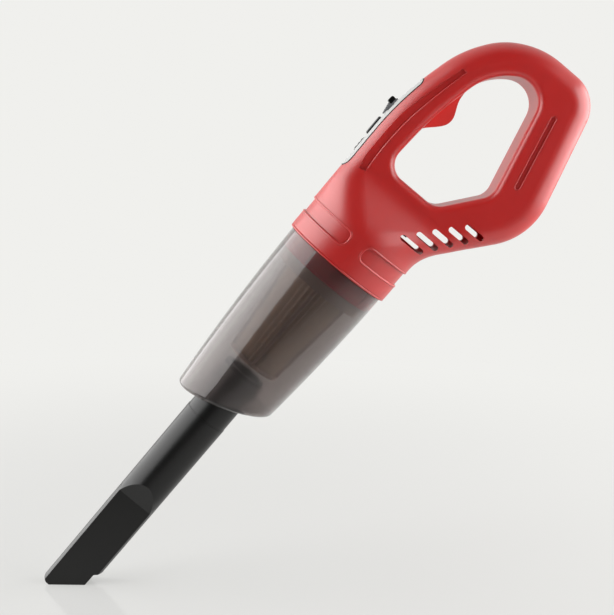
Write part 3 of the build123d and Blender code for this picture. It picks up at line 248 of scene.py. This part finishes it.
# All lengths down to the studio are in millimetres
BARREL_RADIUS = 29.5
CROWN = 29.5
COLLAR_LIP_RADIUS, COLLAR_LIP_AHEAD, COLLAR_LIP_POINTS = 0.6, 0.05, 160
SECTION_SIDES = 12              # sides of a lip's round section
PAD_START, PAD_WIDTH, PAD_END, PAD_CORNER = 8.8, 8.6, 4.2, 3.5
PAD_LIP_RADIUS, PAD_LIP_SINK = 0.7, 0.72       # the sink is a share of the radius, here and below
HANDLE_HALF = 16.5
GROOVE_MIDDLE, GROOVE_LENGTH, GROOVE_WIDTH, GROOVE_TILT = (101.3, -37.5), 39.0, 3.2, 13.1
GROOVE_LIP_RADIUS = 0.5
CHANNEL_UPPER = ((42.0, 7.1), (59.5, 5.6), (74.0, 6.1), (88.7, 9.1), (109.0, 14.5))
CHANNEL_LOWER = ((109.0, 17.4), (88.7, 13.2), (74.0, 10.9), (59.5, 10.1), (43.0, 10.6))
PANEL_START, PANEL_END, PANEL_HALF, PANEL_CORNER = 38.5, 94.0, 11.5, 3.5
TICK_PLACES = (47.6, 50.05, 52.35, 54.8)
TICK_HALF, TICK_RADIUS = 3.2, 0.32
CHANNEL_POINTS = 40             # on each of the channel's two edges
CHANNEL_ASIDE = 0.35            # from the channel's edge onto the uncut surface beside it
CHANNEL_LIP_ENDS = (0.16, 0.2)  # the lip's radius at the ends of the upper and the lower edge
CHANNEL_LIP_GAIN = (0.14, 0.5)  # what the middle of each edge adds to it
CHANNEL_LIP_SINK = 0.9
PAINTED_SHADE_LINE_GAP = 0.25               # from the inlay's edge to the middle of the painted shade line
PAINTED_SHADE_LINE_SIDE_POINTS = 30
PAINTED_SHADE_LINE_RADIUS, PAINTED_SHADE_LINE_SINK = 0.42, 0.5


def lip(name, path, outward, radius, slot, sink=1.0, closed=True, body="housing"):
    """A moulded lip: a round section carried along a path, with one radius or one for each point.

    Each point is the path's point, sunk into the surface by a share of the radius, plus the radius
    times (cos a of the outward direction + sin a of the direction across the path), a over a full turn.
    """
    path, outward = np.asarray(path, float), np.asarray(outward, float) * np.ones((len(path), 1))
    radius = np.broadcast_to(radius, len(path))[:, None]
    step = np.roll(path, -1, 0) - np.roll(path, 1, 0)
    if not closed:
        step[0], step[-1] = path[1] - path[0], path[-1] - path[-2]
    step /= np.linalg.norm(step, axis=1)[:, None]
    sideways = np.cross(step, outward)
    sideways /= np.linalg.norm(sideways, axis=1)[:, None]
    outward = np.cross(sideways, step)
    turn = np.linspace(0, 2 * np.pi, SECTION_SIDES, endpoint=False)
    ring = np.cos(turn)[:, None] * outward[:, None] + np.sin(turn)[:, None] * sideways[:, None]
    points = (path - sink * radius * outward)[:, None] + radius[:, None] * ring
    rows, columns = points.shape[:2]
    row = np.arange(rows if closed else rows - 1)[:, None]
    column = np.arange(columns)[None, :]
    after, beside = (row + 1) % rows, (column + 1) % columns
    quads = np.stack([
        row * columns + column, row * columns + beside, after * columns + beside, after * columns + column,
    ], axis=-1).reshape(-1, 4).tolist()
    if not closed:
        quads += [list(range(columns))[::-1], [(rows - 1) * columns + k for k in range(columns)]]
    mesh = bpy.data.meshes.new(name)
    mesh.from_pydata((points.reshape(-1, 3) / 1000).tolist(), [], quads)
    mesh.shade_smooth()
    mesh.materials.append(finishes[slot].material)
    piece = bpy.data.objects.new(name, mesh)
    bpy.context.scene.collection.objects.link(piece)
    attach(piece, body)
    return piece


def arc(middle, radius, start, end, count):
    """Points round a circle in a plane, from one angle in degrees to another."""
    angle = np.radians(np.linspace(start, end, count))
    return np.stack([middle[0] + radius * np.cos(angle), middle[1] + radius * np.sin(angle)], axis=1)


def smooth_line(corners, count=CHANNEL_POINTS):
    """A cubic through points p with slopes m from their neighbours.

    On each run it is h00 p0 + h10 m0 + h01 p1 + h11 m1, in which h00 to h11 are the Hermite weights.
    """
    corners = np.asarray(corners, float)
    reach = np.concatenate([[0], np.cumsum(np.linalg.norm(np.diff(corners, axis=0), axis=1))])
    slope = np.gradient(corners, reach, axis=0)
    along = np.linspace(0, reach[-1], count)
    run = np.clip(np.searchsorted(reach, along, "right") - 1, 0, len(corners) - 2)
    span = (reach[run + 1] - reach[run])[:, None]
    t = (along - reach[run])[:, None] / span
    return ((2 * t**3 - 3 * t**2 + 1) * corners[run] + (t**3 - 2 * t**2 + t) * span * slope[run]
            + (3 * t**2 - 2 * t**3) * corners[run + 1] + (t**3 - t**2) * span * slope[run + 1])


shells = [BVHTree.FromPolygons(
    [v.co * 1000 for v in nodes[name].data.vertices], [p.vertices for p in nodes[name].data.polygons],
) for name in ("left_shell", "right_shell")]


def laid(path, towards):
    """The path carried in one direction until it meets the housing, with the way the housing faces there."""
    hits = []
    for point in path:
        start = Vector(point) - Vector(towards) * 100
        found = [hit for hit in (shell.ray_cast(start, Vector(towards)) for shell in shells) if hit[0]]
        hits.append(min(found, key=lambda hit: hit[3]))
    return np.array([hit[0] for hit in hits]), np.array([hit[1] for hit in hits])


# Each grip pad is sunk into the collar and runs over it from one side to the other
pad_corner_z = PAD_END + PAD_CORNER
pad_far = PAD_START + PAD_WIDTH
pad_end = np.concatenate([
    arc((PAD_START + PAD_CORNER, pad_corner_z), PAD_CORNER, 180, 270, 9),
    arc((pad_far - PAD_CORNER, pad_corner_z), PAD_CORNER, 270, 360, 9),
])
pad_depth_y = np.sqrt(BARREL_RADIUS**2 - pad_end[:, 1]**2)
over = np.linspace(-1, 1, 61)[1:-1] * np.arccos(pad_corner_z / BARREL_RADIUS)
over_y, over_z = BARREL_RADIUS * np.sin(over), BARREL_RADIUS * np.cos(over)
pad_path = np.concatenate([
    np.stack([pad_end[:, 0], -pad_depth_y, pad_end[:, 1]], axis=1),
    np.stack([np.full_like(over, pad_far), over_y, over_z], axis=1),
    np.stack([pad_end[::-1, 0], pad_depth_y[::-1], pad_end[::-1, 1]], axis=1),
    np.stack([np.full_like(over, PAD_START), over_y[::-1], over_z[::-1]], axis=1),
])
for name, mirror in (("upper_pad_lip", 1), ("lower_pad_lip", -1)):
    path = pad_path * (1, 1, mirror)
    outward = path[::mirror] * (0, 1, 1) / BARREL_RADIUS
    lip(name, path[::mirror], outward, PAD_LIP_RADIUS, "housing_red", sink=PAD_LIP_SINK)

# A rolled front edge hides the seal between the collar and the cup
rim_angle = np.linspace(0, 2 * np.pi, COLLAR_LIP_POINTS, endpoint=False)
rim_way = np.stack([0 * rim_angle, np.cos(rim_angle), np.sin(rim_angle)], axis=1)
rim_path = rim_way * BARREL_RADIUS - (COLLAR_LIP_AHEAD, 0, 0)
lip("collar_lip", rim_path, rim_way, COLLAR_LIP_RADIUS, "housing_red")

# The bar groove and the grip channel, on both sides
tilt = np.radians(GROOVE_TILT)
groove_reach = (GROOVE_LENGTH - GROOVE_WIDTH) / 2
groove_loop = np.concatenate([
    arc((groove_reach, 0), GROOVE_WIDTH / 2, -90, 90, 11),
    arc((-groove_reach, 0), GROOVE_WIDTH / 2, 90, 270, 11),
])
groove_loop = groove_loop @ np.array([[np.cos(tilt), np.sin(tilt)], [-np.sin(tilt), np.cos(tilt)]])
groove_loop = groove_loop + GROOVE_MIDDLE
channel_loop = np.concatenate([smooth_line(CHANNEL_UPPER), smooth_line(CHANNEL_LOWER)])
channel_loop = channel_loop * (1, -1) + (0, CROWN)
channel_aside = np.repeat((CHANNEL_ASIDE, -CHANNEL_ASIDE), CHANNEL_POINTS)
swell = np.sin(np.linspace(0, np.pi, CHANNEL_POINTS))          # 0 at both ends of an edge
channel_radius = np.concatenate([
    CHANNEL_LIP_ENDS[0] + CHANNEL_LIP_GAIN[0] * swell, CHANNEL_LIP_ENDS[1] + CHANNEL_LIP_GAIN[1] * swell**0.5,
])
for side_name, side in (("left", -1), ("right", 1)):
    path = np.insert(groove_loop, 1, side * HANDLE_HALF, axis=1)
    lip(f"{side_name}_groove_lip", path, (0, side, 0), GROOVE_LIP_RADIUS, "housing_red")
    beside = channel_loop + np.stack([0 * channel_aside, channel_aside], axis=1)
    found, facing = laid(np.insert(beside, 1, 0, axis=1), (0, -side, 0))
    path = np.insert(channel_loop, 1, found[:, 1], axis=1)
    lip(f"{side_name}_channel_lip", path, facing, channel_radius, "housing_red", sink=CHANNEL_LIP_SINK)

# A dark bead of painted shade fills the gap round the inlay, where the real gap is dark only from shade, and
# short raised ticks stand between its lenses
painted_shade_line_ends = (PANEL_START + PANEL_CORNER, PANEL_END - PANEL_CORNER)
painted_shade_line_side = PANEL_HALF - PANEL_CORNER
painted_shade_line_corner = PANEL_CORNER + PAINTED_SHADE_LINE_GAP
painted_shade_line_run = np.linspace(*painted_shade_line_ends, PAINTED_SHADE_LINE_SIDE_POINTS)[1:-1]
painted_shade_line = np.concatenate([
    arc((painted_shade_line_ends[1], painted_shade_line_side), painted_shade_line_corner, 0, 90, 9),
    np.stack([painted_shade_line_run[::-1], np.full_like(painted_shade_line_run, painted_shade_line_side + painted_shade_line_corner)], axis=1),
    arc((painted_shade_line_ends[0], painted_shade_line_side), painted_shade_line_corner, 90, 180, 9),
    arc((painted_shade_line_ends[0], -painted_shade_line_side), painted_shade_line_corner, 180, 270, 9),
    np.stack([painted_shade_line_run, np.full_like(painted_shade_line_run, -painted_shade_line_side - painted_shade_line_corner)], axis=1),
    arc((painted_shade_line_ends[1], -painted_shade_line_side), painted_shade_line_corner, 270, 360, 9),
])
# The dark bead is painted shade: the gap it fills is dark only because shade falls in it
found, facing = laid(np.insert(painted_shade_line, 2, 0, axis=1), (0, 0, -1))
lip("panel_painted_shade_line", found, facing, PAINTED_SHADE_LINE_RADIUS, "rubber_dark", sink=PAINTED_SHADE_LINE_SINK)
for k, x in enumerate(TICK_PLACES):
    lip(
        f"level_tick_{k + 1}", [(x, y, CROWN) for y in np.linspace(-TICK_HALF, TICK_HALF, 9)],
        (0, 0, 1), TICK_RADIUS, "dark_window", sink=0.1, closed=False,
    )

# The trigger's spring, carried by the trigger
SPRING_X, SPRING_LOW, SPRING_HIGH = 81.0, 9.35, 17.65
SPRING_RADIUS, SPRING_WIRE, SPRING_TURNS, TURN_POINTS = 1.8, 0.3, 5, 26
spring_angle = np.linspace(0, 2 * np.pi * SPRING_TURNS, TURN_POINTS * SPRING_TURNS)
spring_way = np.stack([np.cos(spring_angle), np.sin(spring_angle), 0 * spring_angle], axis=1)
spring_rise = np.linspace(SPRING_LOW, SPRING_HIGH, len(spring_angle))
spring = lip(
    "coil_spring",
    spring_way * SPRING_RADIUS + np.stack([SPRING_X + 0 * spring_rise, 0 * spring_rise, spring_rise], axis=1),
    spring_way, SPRING_WIRE, "spring_steel", sink=0.0, closed=False, body="trigger",
)
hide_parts("trigger_spring")
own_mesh(spring)

# ---------------------------------------------------------------- studio

PALE = (0.872, 0.870, 0.846)
FLOOR_UP = Vector((0.766, 0.0, 0.643)).normalized()
AMBIENT = 0.14
SKY_FRONT_START, SKY_FRONT_END = -0.1, 0.75    # how far a direction points towards the camera
DIM_FRONT = 0.05                # glow of the studio's side behind the camera, as glossy things show it
right, up, back = (Vector(v) for v in (CAMERA_RIGHT, CAMERA_UP, CAMERA_BACK))


def math_node(tree, operation, first, second):
    """One arithmetic step; each side is a socket or a plain number."""
    node = tree.nodes.new("ShaderNodeMath")
    node.operation = operation
    for socket, value in zip(node.inputs, (first, second)):
        if isinstance(value, (int, float)):
            socket.default_value = value
        else:
            tree.links.new(value, socket)
    return node.outputs[0]


def spread_range(tree, value, start, end, low, high):
    """A value eased from one range into another."""
    node = tree.nodes.new("ShaderNodeMapRange")
    node.interpolation_type = "SMOOTHSTEP"
    for name, number in (("From Min", start), ("From Max", end), ("To Min", low), ("To Max", high)):
        node.inputs[name].default_value = number
    tree.links.new(value, node.inputs["Value"])
    return node.outputs["Result"]


def seen_straight(tree):
    """1 for camera, glossy and transmission rays, 0 for light that falls on the object."""
    path = tree.nodes.new("ShaderNodeLightPath")
    total = path.outputs["Is Camera Ray"]
    for name in ("Is Glossy Ray", "Is Transmission Ray"):
        total = math_node(tree, "MAXIMUM", total, path.outputs[name])
    return total, path.outputs["Is Glossy Ray"]


world = bpy.data.worlds.new("studio")
bpy.context.scene.world = world
world.use_nodes = True
tree = world.node_tree
tree.nodes.clear()
ambient = tree.nodes.new("ShaderNodeBackground")
ambient.inputs["Color"].default_value = (1, 1, 1, 1)
ambient.inputs["Strength"].default_value = AMBIENT
backdrop = tree.nodes.new("ShaderNodeBackground")
backdrop.inputs["Color"].default_value = (*PALE, 1)
towards = tree.nodes.new("ShaderNodeTexCoord")
frontness = tree.nodes.new("ShaderNodeVectorMath")
frontness.operation = "DOT_PRODUCT"
frontness.inputs[1].default_value = back
tree.links.new(towards.outputs["Generated"], frontness.inputs[0])
straight, glossy = seen_straight(tree)
front_glow = spread_range(
    tree, frontness.outputs["Value"], SKY_FRONT_START, SKY_FRONT_END, 0.0, 1.0 - DIM_FRONT,
)
dimmed = math_node(tree, "MULTIPLY", front_glow, glossy)
tree.links.new(math_node(tree, "SUBTRACT", 1.0, dimmed), backdrop.inputs["Strength"])
mixed = tree.nodes.new("ShaderNodeMixShader")
world_out = tree.nodes.new("ShaderNodeOutputWorld")
tree.links.new(straight, mixed.inputs[0])
tree.links.new(ambient.outputs[0], mixed.inputs[1])
tree.links.new(backdrop.outputs[0], mixed.inputs[2])
tree.links.new(mixed.outputs[0], world_out.inputs["Surface"])

# The floor passes under the nozzle's tip, fades into the backdrop and is see-through from behind
corners = np.empty(3 * len(nodes["crevice_nozzle"].data.vertices))
nodes["crevice_nozzle"].data.vertices.foreach_get("co", corners)
corners = corners.reshape(-1, 3)
heights = corners @ np.array(FLOOR_UP)
foot = Vector(corners[heights.argmin()])
across = Vector((0, 1, 0))
along = across.cross(FLOOR_UP)
FLOOR_HALF = 12.0
FADE_START, FADE_END = 0.08, 0.65              # metres from the tip
NEAR_GLOW = 0.5                                # share of the backdrop's glow beside the tip
FRONT_START, FRONT_END = 0.02, 0.45            # metres from the tip towards the camera
floor_mesh = bpy.data.meshes.new("floor")
floor_mesh.from_pydata(
    [foot + (across * a + along * b) * FLOOR_HALF for a, b in ((-1, -1), (1, -1), (1, 1), (-1, 1))],
    [], [(0, 1, 2, 3)],
)
floor = bpy.data.objects.new("floor", floor_mesh)
bpy.context.scene.collection.objects.link(floor)
if floor_mesh.polygons[0].normal.dot(FLOOR_UP) < 0:
    floor_mesh.flip_normals()

floor_finish = Finish("floor")
floor_finish.set(Base_Color=(0.66, 0.66, 0.65, 1), Roughness=0.12)
tree = floor_finish.tree
away = tree.nodes.new("ShaderNodeVectorMath")
away.operation = "DISTANCE"
away.inputs[1].default_value = foot
tree.links.new(floor_finish.place.outputs["Object"], away.inputs[0])
glow_share = spread_range(tree, away.outputs["Value"], FADE_START, FADE_END, NEAR_GLOW, 1.0)
glow = tree.nodes.new("ShaderNodeEmission")
glow.inputs["Color"].default_value = (*PALE, 1)
ahead = tree.nodes.new("ShaderNodeVectorMath")
ahead.operation = "DOT_PRODUCT"
ahead.inputs[1].default_value = back
tree.links.new(floor_finish.place.outputs["Object"], ahead.inputs[0])
floor_seen, floor_glossy = seen_straight(tree)
front_share = spread_range(
    tree, ahead.outputs["Value"], foot.dot(back) + FRONT_START, foot.dot(back) + FRONT_END,
    0.0, 1.0 - DIM_FRONT,
)
tree.links.new(
    math_node(tree, "SUBTRACT", 1.0, math_node(tree, "MULTIPLY", front_share, floor_glossy)),
    glow.inputs["Strength"],
)
pale = tree.nodes.new("ShaderNodeMixShader")
clear = tree.nodes.new("ShaderNodeBsdfTransparent")
facing = tree.nodes.new("ShaderNodeNewGeometry")
sided = tree.nodes.new("ShaderNodeMixShader")
share = math_node(tree, "MAXIMUM", glow_share, math_node(tree, "MULTIPLY", front_share, floor_glossy))
tree.links.new(math_node(tree, "MULTIPLY", floor_seen, share), pale.inputs[0])
tree.links.new(floor_finish.shader.outputs[0], pale.inputs[1])
tree.links.new(glow.outputs[0], pale.inputs[2])
tree.links.new(facing.outputs["Backfacing"], sided.inputs[0])
tree.links.new(pale.outputs[0], sided.inputs[1])
tree.links.new(clear.outputs[0], sided.inputs[2])
tree.links.new(sided.outputs[0], floor_finish.output.inputs["Surface"])
floor_mesh.materials.append(floor_finish.material)

MIDDLE = Vector((-0.02, 0, -0.01))


def studio_place(sideways, upwards, towards):
    """A point in front of, above and beside the object, as the camera sees it."""
    return MIDDLE + right * sideways + up * upwards + back * towards


def softbox(name, place, aim, size, glow):
    """A rectangular area lamp that looks from a place towards a point, as bright as glow times white."""
    data = bpy.data.lights.new(name, "AREA")
    data.shape = "RECTANGLE"
    data.size, data.size_y = size
    data.energy = glow * size[0] * size[1] * np.pi
    lamp = bpy.data.objects.new(name, data)
    bpy.context.scene.collection.objects.link(lamp)
    face = (place - aim).normalized()
    side = up.cross(face).normalized()
    lamp.matrix_world = Matrix.Translation(place) @ Matrix(
        (side, face.cross(side), face)
    ).transposed().to_4x4()


# Softboxes stand left and right of the object, and a weaker one behind it on the left
softbox("left softbox", studio_place(-1.0, 0.7, 0.35), studio_place(0, 0.7, 0.35), (1.4, 1.6), 3.2)
softbox("right softbox", studio_place(0.6, 0.05, 0.08), studio_place(0, 0.05, 0.08), (0.95, 0.7), 3.8)
softbox("rear softbox", studio_place(-1.0, 0.5, -0.75), studio_place(0, 0.5, -0.75), (0.8, 1.4), 2.4)
